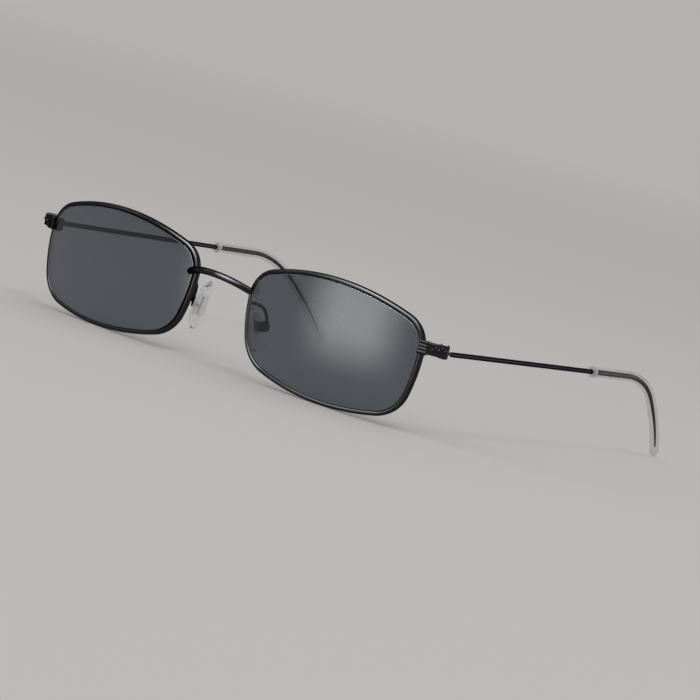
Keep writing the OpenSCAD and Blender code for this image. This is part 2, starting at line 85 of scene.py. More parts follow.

# %% [markdown]
# ## Finishing a piece
# Every piece needs the same last steps, and doing them by hand would let one be forgotten.
# So one helper does them all. It turns a shell that came out inside out, marks the real edges
# sharp so that the rest shades smoothly, gives the finish, hangs the piece on the body that
# carries it and hides the CAD node that it stands for.

# %% A helper that finishes a piece
def volume_inside(mesh):
    """The volume of a closed shell. It is negative where the faces point inwards."""
    shell = bmesh.new()
    shell.from_mesh(mesh)
    volume = shell.calc_volume(signed=True)
    shell.free()
    return volume


def finish_piece(mesh, name, body, finish, node, sharp=60):
    """Makes a piece of a mesh. Edges that bend by more than `sharp` degrees stay crisp."""
    mesh.name = name
    if volume_inside(mesh) < 0:
        mesh.flip_normals()
    mesh.polygons.foreach_set("use_smooth", [True] * len(mesh.polygons))
    mesh.set_sharp_from_angle(angle=math.radians(sharp))
    mesh.materials.clear()
    mesh.materials.append(finish)
    mesh.polygons.foreach_set("material_index", [0] * len(mesh.polygons))
    piece = bpy.data.objects.new(name, mesh)
    bpy.context.collection.objects.link(piece)
    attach(piece, body)
    if node:
        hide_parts(node)
    print(f"{name}: {sum(len(face.vertices) - 2 for face in mesh.polygons)} triangles")


# %% [markdown]
# ## Working with nodes
# Finishes, wires and light are all made of nodes. Each node could be added and linked in many
# short lines, but then its purpose is hard to see. With these helpers one call adds a node
# and says what goes into it: a plain value, or the output of another node.

# %% Helpers that add and link nodes
def feed(tree, node, inputs):
    """Gives a node its inputs. Outputs of other nodes are linked, and values are set."""
    for label, value in inputs.items():
        if isinstance(value, bpy.types.NodeSocket):
            tree.links.new(value, node.inputs[label])
        else:
            node.inputs[label].default_value = value


def add_node(tree, kind, inputs=None, **settings):
    """Adds a node. Its settings come first, because they decide which inputs it has."""
    node = tree.nodes.new(kind)
    for label, value in settings.items():
        setattr(node, label, value)
    feed(tree, node, inputs or {})
    return node


def math_node(tree, operation, *values, clamp=False):
    """Adds a Math node and gives back its result."""
    node = add_node(tree, "ShaderNodeMath", dict(enumerate(values)), operation=operation, use_clamp=clamp)
    return node.outputs[0]


def new_group(name, inputs, outputs):
    """Starts a node group of number sockets. Gives back the group, its givens and its end."""
    group = bpy.data.node_groups.new(name, "ShaderNodeTree")
    for label, usual in inputs.items():
        socket = group.interface.new_socket(label, in_out="INPUT", socket_type="NodeSocketFloat")
        socket.default_value = usual
    for label in outputs:
        group.interface.new_socket(label, in_out="OUTPUT", socket_type="NodeSocketFloat")
    return group, add_node(group, "NodeGroupInput").outputs, add_node(group, "NodeGroupOutput")


print("node helpers are ready")

# %% [markdown]
# ## Shared surface effects
# Polish and handling leave marks at two sizes: a speckle of tiny scratches, and the slow
# change that fingers leave. Each finish could have its own copy of these nodes. They are
# node groups instead, built once and placed in each finish with its own values. They give
# only numbers: `fine_marks` a mask and a height, and `soft_patches` one slow value.

# %% Build the fine marks
SCRATCH_GAIN, SCRATCH_FLOOR, GRAIN_SCALE = 6.0, -3.7, 1.7


def build_fine_marks():
    """Crossing scratches: noise stretched two ways, of which only the peaks are kept."""
    group, given, end = new_group("fine_marks", {"Scale": 3000.0}, ["Mask", "Height"])
    at = add_node(group, "ShaderNodeTexCoord").outputs["Object"]
    streaks = []
    for stretch in ((1.0, 0.12, 1.0), (0.15, 1.0, 1.0)):
        stretched = add_node(group, "ShaderNodeMapping", {"Vector": at, "Scale": stretch})
        noise = add_node(group, "ShaderNodeTexNoise", {
            "Vector": stretched.outputs["Vector"], "Scale": given["Scale"], "Detail": 2.0})
        streaks.append(noise.outputs["Fac"])
    both = math_node(group, "MAXIMUM", *streaks)
    scratches = math_node(group, "MULTIPLY_ADD", both, SCRATCH_GAIN, SCRATCH_FLOOR, clamp=True)
    grain_scale = math_node(group, "MULTIPLY", given["Scale"], GRAIN_SCALE)
    grain = add_node(group, "ShaderNodeTexNoise", {"Vector": at, "Scale": grain_scale, "Detail": 4.0})
    feed(group, end, {"Mask": scratches, "Height": grain.outputs["Fac"]})
    return group


fine_marks = build_fine_marks()
print("node group:", fine_marks.name)

# %% Build the soft patches
def build_soft_patches():
    """Slow noise, spread between a low and a high value."""
    group, given, end = new_group("soft_patches", {"Scale": 120.0, "Low": 0.0, "High": 1.0}, ["Value"])
    at = add_node(group, "ShaderNodeTexCoord").outputs["Object"]
    slow = add_node(group, "ShaderNodeTexNoise", {"Vector": at, "Scale": given["Scale"], "Detail": 3.0})
    spread = add_node(group, "ShaderNodeMapRange", {
        "Value": slow.outputs["Fac"], "From Min": 0.3, "From Max": 0.7,
        "To Min": given["Low"], "To Max": given["High"]})
    feed(group, end, {"Value": spread.outputs["Result"]})
    return group


soft_patches = build_soft_patches()
print("node group:", soft_patches.name)

# %% [markdown]
# ## The metal finishes
# The wire is steel under a glossy black plating, and screws and pins are bare steel. Black
# paint under a clear coat could give a similar black, but it turns pale at a glancing angle.
# Black plating stays dark there, which a metal shader does with a dark edge tint. Values that
# are the same all over sit on the shader, and only what changes comes from the groups.

# %% Helpers that start a finish and lay marks into it
PATCH_SCALE, WORN, RELIEF = 150.0, 0.25, 0.02 * MM


def start_finish(name, colour, **values):
    """A new finish. Its even values are set on the shader's own sockets."""
    finish = bpy.data.materials.new(name)
    finish.use_nodes = True
    sockets = finish.node_tree.nodes["Principled BSDF"].inputs
    sockets["Base Color"].default_value = (*colour, 1)
    for label, value in values.items():
        whole = (*value, 1) if isinstance(value, tuple) else value
        sockets[label.replace("_", " ")].default_value = whole
    return finish


def lay_marks(finish, rough, dark, light, marks, bump):
    """Marks on metal: patches in the roughness, paler scratches, and their faint relief."""
    tree = finish.node_tree
    low, high = rough
    scratches = add_node(tree, "ShaderNodeGroup", {"Scale": marks}, node_tree=fine_marks)
    patches = add_node(tree, "ShaderNodeGroup", {"Scale": PATCH_SCALE, "Low": low, "High": high},
                       node_tree=soft_patches)
    worn = math_node(tree, "MULTIPLY", scratches.outputs["Mask"], WORN)
    roughness = math_node(tree, "ADD", patches.outputs["Value"], worn, clamp=True)
    colour = add_node(tree, "ShaderNodeMix", {
        "A": (*dark, 1), "B": (*light, 1), "Factor": scratches.outputs["Mask"]}, data_type="RGBA")
    relief = add_node(tree, "ShaderNodeBump", {
        "Strength": bump, "Distance": RELIEF, "Height": scratches.outputs["Height"]})
    feed(tree, tree.nodes["Principled BSDF"], {
        "Roughness": roughness, "Base Color": colour.outputs["Result"], "Normal": relief.outputs["Normal"]})


# %% Plated wire and bare steel
plating = start_finish("black_plating", (0.034, 0.035, 0.038), Metallic=1.0,
                       Specular_Tint=(0.34, 0.34, 0.35))
lay_marks(plating, (0.12, 0.2), (0.032, 0.033, 0.036), (0.044, 0.045, 0.049), marks=3000.0, bump=0.04)
steel = start_finish("bare_steel", (0.5, 0.51, 0.53), Metallic=1.0)
lay_marks(steel, (0.22, 0.36), (0.48, 0.49, 0.51), (0.66, 0.67, 0.68), marks=5000.0, bump=0.3)
bright_steel = start_finish("bright_steel", (0.82, 0.83, 0.84), Metallic=1.0)
lay_marks(bright_steel, (0.12, 0.24), (0.8, 0.81, 0.82), (0.9, 0.9, 0.91), marks=4000.0, bump=0.15)
print("metal finishes:", plating.name, steel.name, bright_steel.name)

# %% [markdown]
# ## The clear finishes
# The lens is grey glass, the tips are hard clear plastic and the pads are soft clear silicone.
# Glass in a render throws a black shadow, because lamps can't shine through its bending
# surfaces. The shadow could be switched off, but dark glasses do shade the table. So rays from
# lamps pass through a plain tint. Fingers leave soft patches in the roughness.
# Tips and pads bend light a bit less here than real plastic. A perfect thin rod with the full
# bend traps light and swells the wire inside it, which real moulded tips don't show.

# %% A helper for clear finishes
def clear_finish(name, colour, shade, smudge, patches, **values):
    """Clear material: its own tint, the tint of its shadow and a smudged roughness."""
    finish = start_finish(name, colour, **values)
    tree, (low, high) = finish.node_tree, smudge
    shader = tree.nodes["Principled BSDF"]
    handled = add_node(tree, "ShaderNodeGroup", {"Scale": patches, "Low": low, "High": high},
                       node_tree=soft_patches)
    feed(tree, shader, {"Roughness": handled.outputs["Value"]})
    passing = add_node(tree, "ShaderNodeBsdfTransparent", {"Color": (*shade, 1)})
    ray = add_node(tree, "ShaderNodeLightPath")
    surface = add_node(tree, "ShaderNodeMixShader", {
        "Fac": ray.outputs["Is Shadow Ray"], 1: shader.outputs["BSDF"], 2: passing.outputs["BSDF"]})
    feed(tree, tree.nodes["Material Output"], {"Surface": surface.outputs["Shader"]})
    return finish


# %% Lens glass, clear tips, frosted collars and clear pads
lens_glass = clear_finish("grey_lens", (0.133, 0.152, 0.178), (0.42, 0.44, 0.46), (-0.012, 0.012),
                          70.0, IOR=1.5, Transmission_Weight=1.0)
clear_tip = clear_finish("clear_tip", (0.77, 0.775, 0.78), (0.9, 0.91, 0.91), (0.0, 0.05), 260.0,
                         IOR=1.25, Transmission_Weight=1.0)
frosted_clear = clear_finish("frosted_clear", (0.9, 0.9, 0.895), (0.7, 0.7, 0.7), (0.42, 0.6), 300.0,
                             IOR=1.3, Transmission_Weight=0.75)
clear_pad = clear_finish("clear_pad", (0.95, 0.955, 0.95), (0.88, 0.89, 0.89), (0.03, 0.1), 320.0,
                         IOR=1.3, Transmission_Weight=0.93)
print("clear finishes:", lens_glass.name, clear_tip.name, frosted_clear.name, clear_pad.name)

# %% [markdown]
# ## A wire that follows a path
# Rims, bridge, temples and pad arms are all drawn wire that is bent along a path. A curve with
# a bevel could make them, but its section turns by a tilt angle at each point, which is hard
# to work out on a bend in space. So one Geometry Nodes tree makes them all. The path is a line
# of points with two attributes: `outward`, the way the section faces, and `swell`, its size
# there. The section is a closed loop.

# %% Build the wire tree
WIRE_INPUTS = {"Path": "Geometry", "Section": "Object", "Thickness": "Float", "Finish": "Material"}


def build_wire_tree():
    """Turns the path to face outward, sweeps the section along it and closes both ends."""
    tree = bpy.data.node_groups.new("wire_along_path", "GeometryNodeTree")
    for label, kind in WIRE_INPUTS.items():
        tree.interface.new_socket(label, in_out="INPUT", socket_type="NodeSocket" + kind)
    tree.interface.new_socket("Wire", in_out="OUTPUT", socket_type="NodeSocketGeometry")
    given, end = add_node(tree, "NodeGroupInput").outputs, add_node(tree, "NodeGroupOutput")
    line = add_node(tree, "GeometryNodeMeshToCurve", {"Mesh": given["Path"]})
    outward = add_node(tree, "GeometryNodeInputNamedAttribute", {"Name": "outward"},
                       data_type="FLOAT_VECTOR")
    facing = add_node(tree, "GeometryNodeSetCurveNormal", {
        "Curve": line.outputs["Curve"], "Normal": outward.outputs["Attribute"]}, mode="FREE")
    section = add_node(tree, "GeometryNodeObjectInfo", {"Object": given["Section"]})
    loop = add_node(tree, "GeometryNodeMeshToCurve", {"Mesh": section.outputs["Geometry"]})
    swell = add_node(tree, "GeometryNodeInputNamedAttribute", {"Name": "swell"}, data_type="FLOAT")
    size = math_node(tree, "MULTIPLY", swell.outputs["Attribute"], given["Thickness"])
    sweep = add_node(tree, "GeometryNodeCurveToMesh", {
        "Curve": facing.outputs["Curve"], "Profile Curve": loop.outputs["Curve"], "Scale": size,
        "Fill Caps": True})
    whole = add_node(tree, "GeometryNodeRealizeInstances", {"Geometry": sweep.outputs["Mesh"]})
    plated = add_node(tree, "GeometryNodeSetMaterial", {
        "Geometry": whole.outputs["Geometry"], "Material": given["Finish"]})
    feed(tree, end, {"Wire": plated.outputs["Geometry"]})
    return tree


wire_tree = build_wire_tree()
print("tree:", wire_tree.name, "with inputs", list(WIRE_INPUTS))

# %% [markdown]
# A modifier runs the tree on the path. It could stay on the piece, but the joints carry plain
# meshes. So `draw_wire` keeps the mesh that comes out and throws the path away.

# %% Draw a wire with the tree
def loop_object(name, points):
    """A closed loop of points in a plane, which the tree reads as a wire's section."""
    mesh = bpy.data.meshes.new(name)
    count = len(points)
    edges = [(number, (number + 1) % count) for number in range(count)]
    mesh.from_pydata([(across, along, 0) for across, along in points], edges, [])
    section = bpy.data.objects.new(name, mesh)
    bpy.context.collection.objects.link(section)
    return section


def bake(host):
    """Plain mesh of an object with its modifiers. The object itself is thrown away."""
    bpy.context.view_layer.update()
    mesh = bpy.data.meshes.new_from_object(host.evaluated_get(bpy.context.evaluated_depsgraph_get()))
    host.modifiers.clear()
    bpy.data.objects.remove(host)
    return mesh


def draw_wire(points, outward, swell, section, finish):
    """A wire along points in metres. The swell is one number or one for each point."""
    count = len(points)
    path = bpy.data.meshes.new("path")
    path.from_pydata([tuple(point) for point in points], [(k, k + 1) for k in range(count - 1)], [])
    facing = path.attributes.new("outward", "FLOAT_VECTOR", "POINT")
    facing.data.foreach_set("vector", np.asarray(outward, float).ravel())
    sizes = path.attributes.new("swell", "FLOAT", "POINT")
    sizes.data.foreach_set("value", np.broadcast_to(swell, count).astype(float).copy())
    host = bpy.data.objects.new("path", path)
    bpy.context.collection.objects.link(host)
    drawing = host.modifiers.new("tree", "NODES")
    drawing.node_group = wire_tree
    values = {"Section": section, "Thickness": 1.0, "Finish": finish}
    for socket in wire_tree.interface.items_tree:
        if socket.in_out == "INPUT" and socket.name in values:
            drawing[socket.identifier] = values[socket.name]
    return bake(host)


round_section = loop_object("round_section", [
    (math.cos(angle), math.sin(angle)) for angle in np.linspace(0, 2 * math.pi, 33)[:-1]])
print("round section:", len(round_section.data.vertices), "sides")

# %% [markdown]
# ## The outline of a rim
# A rim is a soft rectangle. Seen from the front its outline is four long arcs, joined by four
# corner arcs that touch their neighbours without a kink. It could be a smooth curve through a
# few points, but then no stretch would have a radius that a bending tool could follow. So the
# walk goes round on true arcs, and gives the place and the way outward at each step.

# %% Find the corners of the rim
RIM_W, RIM_H = 54.9, 33.3
TOP_R, TEMPLE_SIDE_R, BOTTOM_R, NOSE_SIDE_R = 68, 44.2, 74, 40.2
# Each long arc has its centre, across and up, and its radius.
ARCS = [(-0.4, RIM_H / 2 - TOP_R, TOP_R), (RIM_W / 2 - TEMPLE_SIDE_R, 3.8, TEMPLE_SIDE_R),
        (2.5, BOTTOM_R - RIM_H / 2, BOTTOM_R), (NOSE_SIDE_R - RIM_W / 2, 5.8, NOSE_SIDE_R)]
# Each corner lies between an arc and the next one, and has its radius and the way it points.
CORNERS = [(8.8, (1, 1)), (10.3, (1, -1)), (11.5, (-1, -1)), (8.3, (-1, 1))]


def corner_centre(arc, next_arc, radius, toward):
    """The centre of the corner arc that touches two long arcs from inside."""
    first, second = np.array(arc[:2], float), np.array(next_arc[:2], float)
    reach, next_reach = arc[2] - radius, next_arc[2] - radius
    apart = np.linalg.norm(second - first)
    along = (second - first) / apart
    onward = (reach * reach - next_reach * next_reach + apart * apart) / (2 * apart)
    aside = math.sqrt(max(0, reach * reach - onward * onward)) * np.array([-along[1], along[0]])
    meetings = [first + along * onward + aside, first + along * onward - aside]
    return max(meetings, key=lambda place: place @ np.array(toward))


corner_centres = [corner_centre(ARCS[k], ARCS[(k + 1) % 4], *CORNERS[k]) for k in range(4)]
print("corner centres, mm:", [[round(float(value), 2) for value in centre] for centre in corner_centres])

# %% Walk round the rim
SPLIT_PAST_CORNER, SPLIT_GAP, STEP = math.radians(4.4), 0.2, 0.3


def bearing(centre, hub):
    """The angle at which one centre is seen from another."""
    return math.atan2(centre[1] - hub[1], centre[0] - hub[0])


def rim_arcs():
    """Every arc of the rim as centre, radius, first and last angle, clockwise from the split."""
    corner_r = [radius for radius, toward in CORNERS]
    first_end = bearing(corner_centres[0], ARCS[1])
    split = first_end + SPLIT_PAST_CORNER
    half_gap = SPLIT_GAP / 2 / corner_r[0]
    arcs = [(corner_centres[0], corner_r[0], split - half_gap, first_end)]
    for k in (1, 2, 3, 0):
        start = bearing(corner_centres[k - 1], ARCS[k])
        middle = bearing(corner_centres[k], ARCS[k])
        end = bearing(corner_centres[k], ARCS[(k + 1) % 4])
        arcs.append((ARCS[k][:2], ARCS[k][2], start, middle - 2 * math.pi * (middle > start)))
        arcs.append((corner_centres[k], corner_r[k], middle, end - 2 * math.pi * (end > middle)))
    arcs[-1] = (*arcs[-1][:3], split + half_gap)
    return arcs


def on_arc(centre, radius, angle):
    """A place x, z on an arc, with the way outward there."""
    out_x, out_z = math.cos(angle), math.sin(angle)
    return centre[0] + radius * out_x, centre[1] + radius * out_z, out_x, out_z


def walk_outline():
    """Rows of x, z and the way outward in x and z, all round the rim."""
    rows, arcs = [], rim_arcs()
    for centre, radius, start, end in arcs:
        count = max(4, math.ceil(radius * (start - end) / STEP))
        rows += [on_arc(centre, radius, angle) for angle in np.linspace(start, end, count + 1)[:-1]]
    centre, radius, start, end = arcs[-1]
    return np.array(rows + [on_arc(centre, radius, end)])


outline = walk_outline()
wide, high = np.ptp(outline[:, :2], axis=0)
print(f"rim outline: {len(outline)} steps, {wide:.2f} x {high:.2f} mm")

# %% [markdown]
# ## The rims
# A rim is one wire with a groove on its inner side for the lens. It follows the lens's sphere,
# and it is open where the lock blocks pull it together. A round wire with a torus cut from it
# would leave ragged edges. So the grooved section is drawn once, with its corners eased, and
# swept along the outline.

# %% Draw the grooved section
WIRE_W, WIRE_D = 1.25, 1.9
GROOVE_DEPTH, THROAT_DEPTH = 0.5, 0.08
# Half the groove's width at its mouth, at its throat and at its bottom.
AT_MOUTH, AT_THROAT, AT_BOTTOM = 0.4, 0.36, 0.32
# The front half of the outer face, as shares of the wire's width and of half its depth.
OUTER_FACE = np.array([[0, 0.0], [0, 0.22], [-0.032, 0.48], [-0.12, 0.72], [-0.288, 0.9], [-0.496, 1],
                       [-0.72, 0.98], [-0.896, 0.84], [-1, 0.6]])


def ease(points, steps=4):
    """Catmull-Rom: a smooth line through the points, as if they were mirrored at the first."""
    points = np.vstack([points[1] * [1, -1], points, points[-1]])
    line = []
    for before, start, end, after in zip(points, points[1:], points[2:], points[3:]):
        for t in np.arange(steps) / steps:
            line.append(0.5 * (2 * start + (end - before) * t
                               + (2 * before - 5 * start + 4 * end - after) * t * t
                               + (3 * start - before - 3 * end + after) * t ** 3))
    return np.array(line + [points[-2]])


half_section = np.vstack([ease(OUTER_FACE * [WIRE_W, WIRE_D / 2]), [
    [-WIRE_W, AT_MOUTH], [THROAT_DEPTH - WIRE_W, AT_THROAT], [GROOVE_DEPTH - WIRE_W, AT_BOTTOM]]])
whole_section = np.vstack([half_section, (half_section * [1, -1])[::-1][:-1]])
rim_section = loop_object("rim_section", whole_section * MM)
print("rim section:", len(whole_section), "points")

# %% Sweep the rims
SPACING, WRAP, BASE_R = 73.1, math.radians(3.75), 117.0


def from_lens(points):
    """Takes points of the left lens, turned back by the wrap, to the upright front."""
    x, y, z = np.asarray(points, float).reshape(-1, 3).T
    return np.stack([SPACING / 2 + x * math.cos(WRAP) - y * math.sin(WRAP),
                     x * math.sin(WRAP) + y * math.cos(WRAP), z], 1)


def on_sphere(x, z, radius=BASE_R):
    """Points on a sphere that lens and rim follow, at a place x, z of the outline."""
    return np.stack([x, BASE_R - np.sqrt(radius * radius - x * x - z * z), z], 1)


for name, side in SIDES.items():
    x, z, out_x, out_z = outline.T
    path = stand(from_lens(on_sphere(x, z)), side)
    outward = from_lens(np.stack([out_x, 0 * out_x, out_z], 1)) - [SPACING / 2, 0, 0]
    rim = draw_wire(path, stand_direction(outward, side), 1.0, rim_section, plating)
    finish_piece(rim, f"{name}_rim_wire", "front", plating, f"{name}_rim", sharp=50)

# %% [markdown]
# ## The lenses
# A lens is a slice of a spherical shell, cut to the rim's outline, with a thin flange round
# its edge that sits in the groove. A sheet thickened by Solidify comes near, but its bevel and
# its flange would still have to be cut. Here one shell runs over rings, from the middle of the
# front to its edge, over bevel and flange, and back to the middle behind. Front and back lie
# on true spheres, so the reflections are as smooth as on the real one.

# %% A helper that skins rings
def skin(rings):
    """A closed shell over rings of points. Every ring has the same number of points."""
    rings = np.asarray(rings, float)
    rows, around = rings.shape[:2]
    row, spot = np.meshgrid(np.arange(rows - 1), np.arange(around), indexing="ij")
    this, following, onward = row * around, (spot + 1) % around, (row + 1) * around
    faces = np.stack([this + spot, this + following, onward + following, onward + spot], -1)
    caps = [list(range(around))[::-1], list(range((rows - 1) * around, rows * around))]
    mesh = bpy.data.meshes.new("skin")
    mesh.from_pydata(rings.reshape(-1, 3).tolist(), [], faces.reshape(-1, 4).tolist() + caps)
    return mesh


# %% Cut the lenses
LENS_T, LENS_IN, BEVEL = 1.7, 1.29, 0.14
FLANGE_T, FLANGE_IN = 0.4, 0.8
EASED_IN, EASED_DEPTH = 0.04, 0.03
# Each step over the edge, from the flange to the face, is how far in and how far out it lies.
EDGE = [(FLANGE_IN, FLANGE_T / 2), (LENS_IN, FLANGE_T / 2), (LENS_IN, LENS_T / 2 - BEVEL),
        (LENS_IN + EASED_IN, LENS_T / 2 - EASED_DEPTH), (LENS_IN + BEVEL, LENS_T / 2)]
SHARES = np.concatenate([np.linspace(0.02, 0.9, 22), np.linspace(0.92, 0.995, 6)])


def lens_ring(side, inset, layer, share=1.0):
    """A ring of the lens. The share shrinks it towards the middle, and the layer is its depth."""
    x, z, out_x, out_z = outline[:-1].T
    ring_x, ring_z = (x - inset * out_x) * share, (z - inset * out_z) * share
    return stand(from_lens(on_sphere(ring_x, ring_z, BASE_R - layer)), side)


face_in, face_out = EDGE[-1]
for name, side in SIDES.items():
    rings = [lens_ring(side, face_in, -face_out, share) for share in SHARES]
    rings += [lens_ring(side, inset, -layer) for inset, layer in EDGE[::-1]]
    rings += [lens_ring(side, inset, layer) for inset, layer in EDGE]
    rings += [lens_ring(side, face_in, face_out, share) for share in SHARES[::-1]]
    finish_piece(skin(rings), f"{name}_tinted_lens", "front", lens_glass, f"{name}_lens",
                 sharp=30)

# %% [markdown]
# ## Castings with softened edges
# End pieces, lock blocks, pad boxes and screw heads are tumbled and plated after they are cut,
# so no edge is truly sharp. A bevel could round their edges, but it breaks where small faces
# meet. So each casting starts from a copy of its CAD solid, is remeshed to an even fine grid,
# and is relaxed a little, which rounds every edge as tumbling does.

# %% Helpers that soften a copy of a CAD solid
KEPT_SHARE, EDGES_JOIN_WITHIN = 0.35, 0.0005


def clean_copy(node, cut=None):
    """The node's solid in mm, with its corners joined. A cut keeps what lies before a plane."""
    mesh = frame["nodes"][node].data.copy()
    mesh.transform(Matrix.Scale(1 / MM, 4))
    solid = bmesh.new()
    solid.from_mesh(mesh)
    bmesh.ops.remove_doubles(solid, verts=solid.verts, dist=EDGES_JOIN_WITHIN)
    if cut:
        place, along = cut
        everything = solid.verts[:] + solid.edges[:] + solid.faces[:]
        sliced = bmesh.ops.bisect_plane(solid, geom=everything, plane_co=place, plane_no=along,
                                        clear_outer=True)
        open_edges = [edge for edge in sliced["geom_cut"] if isinstance(edge, bmesh.types.BMEdge)]
        bmesh.ops.holes_fill(solid, edges=open_edges)
    solid.to_mesh(mesh)
    solid.free()
    return mesh


def soften(node, grid, relaxed, cut=None):
    """A rounded copy of a CAD solid. The grid is in mm, and `relaxed` is how many times."""
    host = bpy.data.objects.new("soften", clean_copy(node, cut))
    bpy.context.collection.objects.link(host)
    remesh = host.modifiers.new("grid", "REMESH")
    remesh.mode, remesh.voxel_size = "VOXEL", grid
    relax = host.modifiers.new("relax", "SMOOTH")
    relax.factor, relax.iterations = 0.5, relaxed
    host.modifiers.new("thin", "DECIMATE").ratio = KEPT_SHARE
    mesh = bake(host)
    mesh.transform(Matrix.Scale(MM, 4))
    return mesh


# %% Tumble the castings
# Each row names the CAD node, the piece, its finish, its slot, its grid and its relaxing.
CASTINGS = [("end_piece", "end_casting", plating, "black_metal", 0.06, 3),
            ("lock_upper", "lock_block_upper", plating, "black_metal", 0.05, 3),
            ("lock_lower", "lock_block_lower", plating, "black_metal", 0.05, 3),
            ("lock_screw", "lock_bolt", steel, "steel", 0.04, 2),
            ("hinge_screw", "hinge_bolt", steel, "steel", 0.04, 2),
            ("pad_box", "pad_cup", plating, "black_metal", 0.05, 3),
            ("pad_pin", "pad_rivet", steel, "steel", 0.04, 2),
            ("pad_stem", "pad_plate", bright_steel, "steel", 0.05, 2)]
for name in SIDES:
    for node, piece, finish, slot, grid, relaxed in CASTINGS:
        body = f"{name}_nose_pad" if node == "pad_stem" else "front"
        casting = soften(f"{name}_{node}", grid, relaxed)
        finish_piece(casting, f"{name}_{piece}", body, finish, f"{name}_{node}", sharp=70)

# %% [markdown]
# ## The bridge
# The bridge is a round bar, bent to one arc that bulges forward and up, and brazed to the front
# of both rims. It could be a curve through three points, but a bar bent round one roller is a
# true arc, so its radius is worked out from its span and its rise. Brazing rounds its ends.

# %% Bend the bridge
BRIDGE_R, INTO_RIM = 0.925, 1.45
BRIDGE_Y, BRIDGE_Z, BULGE, ARCH = -0.3, 5.9, 4.2, 2.2
END_ROUND, END_MIN, END_SHARE = 0.4, 0.02, 0.3
half_span = SPACING / 2 - RIM_W / 2 + INTO_RIM
rise, slope = math.hypot(BULGE, ARCH), math.atan2(ARCH, BULGE)
arc_r = (half_span ** 2 + rise ** 2) / (2 * rise)
reach = math.asin(half_span / arc_r)
angles = np.linspace(-reach, reach, 161)
drop = rise - arc_r * (1 - np.cos(angles))
arc = np.stack([arc_r * np.sin(angles), BRIDGE_Y - drop * math.cos(slope),
                BRIDGE_Z + drop * math.sin(slope)], 1)
upward = np.broadcast_to([0, math.sin(slope), math.cos(slope)], arc.shape)
from_end = half_span - np.abs(arc[:, 0])
rounding = np.sqrt(np.clip(1 - (1 - from_end / END_ROUND) ** 2, END_MIN, 1)) * END_SHARE + (1 - END_SHARE)
swell = np.where(from_end < END_ROUND, rounding, 1.0)
bar = draw_wire(stand(arc), stand_direction(upward), swell * BRIDGE_R * MM, round_section, plating)
finish_piece(bar, "bridge_bar", "front", plating, "bridge")

# %% [markdown]
# ## The temples
# A temple starts as a flat eye that turns between the ears of the fork. A short neck widens
# into a straight round wire, and inside the clear tip the same wire is drawn thinner and
# thinner. Eye, wire and tip could each have a path of their own, but then a change of one
# would part them. So one line, a straight, a bend and a nearly straight leg, serves them all.

# %% The line that a temple follows
DROP, TIP_LEAN = math.radians(3.23), math.radians(13.8)
ROD_LEN, STRAIGHT, LEG = 75.4, 20.3, 26.0
BEND, BEND_R, LEG_R = math.radians(36), 31.6, 105.0
BEND_FROM, BEND_LEN = ROD_LEN + STRAIGHT, BEND_R * BEND
TEMPLE_LEN = BEND_FROM + BEND_LEN + LEG


def temple_turn():
    """The temple's own turn: its tip leans inwards, and the whole temple drops."""
    lean_cos, lean_sin = math.cos(TIP_LEAN), math.sin(TIP_LEAN)
    drop_cos, drop_sin = math.cos(DROP), math.sin(DROP)
    leaned = np.array([[lean_cos, 0, lean_sin], [0, 1, 0], [-lean_sin, 0, lean_cos]])
    return np.array([[1, 0, 0], [0, drop_cos, drop_sin], [0, -drop_sin, drop_cos]]) @ leaned


def temple_line(lengths, side):
    """Places, ways across and ways up, at lengths along the temple from its hinge."""
    lengths = np.asarray(lengths, float)
    bent = np.clip((lengths - BEND_FROM) / BEND_R, 0, BEND)
    leg = np.clip(lengths - BEND_FROM - BEND_LEN, 0, None) / LEG_R
    back = np.where(lengths < BEND_FROM, lengths, BEND_FROM + BEND_R * np.sin(bent))
    back = back + LEG_R * (np.sin(BEND + leg) - math.sin(BEND))
    up = -BEND_R * (1 - np.cos(bent)) - LEG_R * (math.cos(BEND) - np.cos(BEND + leg))
    line = np.stack([0 * lengths, back, up], 1)
    across = np.broadcast_to([1.0, 0, 0], line.shape)
    above = np.stack([0 * lengths, np.sin(bent + leg), np.cos(bent + leg)], 1)
    turn = temple_turn().T
    return (stand(line @ turn + HINGE, side), stand_direction(across @ turn, side),
            stand_direction(above @ turn, side))


print("temple length along the wire, mm:", round(TEMPLE_LEN, 1))

# %% The shape of the temple wire
NECK, ROD_R, CORE_R, CORE_TIP_R = 3.6, 0.675, 0.4, 0.16
CORE_FROM, CORE_END = ROD_LEN - 0.7, TEMPLE_LEN - 4
ROD_END = CORE_FROM + 1.0
# Each row is a length, from the neck, the end of the rod or the end of the core, and a radius.
NECK_SHAPE = np.array([(0, 0.4), (0.02, 0.5), (0.08, 0.58), (0.18, 0.63), (0.3, 0.66), (0.45, ROD_R)])
SHOULDER = np.array([(-0.12, ROD_R), (-0.04, ROD_R - 0.03), (0, ROD_R - 0.1)])
CORE_NOSE = np.array([(-0.2, 0.155), (-0.1, 0.13), (-0.04, 0.1), (0, 0.04)])


def temple_shape():
    """Lengths along the temple wire, with its radius at each: neck, rod, shoulder, core and nose."""
    rod = np.arange(NECK + 0.8, ROD_END - 0.3, 0.8)
    core = np.concatenate([[ROD_END + 0.01], np.arange(ROD_END + 0.3, CORE_END - 0.4, 0.4)])
    drawn = (core - CORE_FROM) / (CORE_END - CORE_FROM)
    return np.vstack([NECK_SHAPE + [NECK, 0], np.stack([rod, np.full(len(rod), ROD_R)], 1),
                      SHOULDER + [ROD_END, 0],
                      np.stack([core, CORE_R - (CORE_R - CORE_TIP_R) * drawn ** 3], 1),
                      CORE_NOSE + [CORE_END, 0]])


lengths, radii = temple_shape().T
print(f"temple wire: {len(lengths)} rings, {lengths[-1] - lengths[0]:.1f} mm")

# %% [markdown]
# The eye is flat and has a hole, so no sweep can give it. It is a softened copy of the front
# end of the CAD temple, cut off a little behind the start of the wire, which hides the cut.

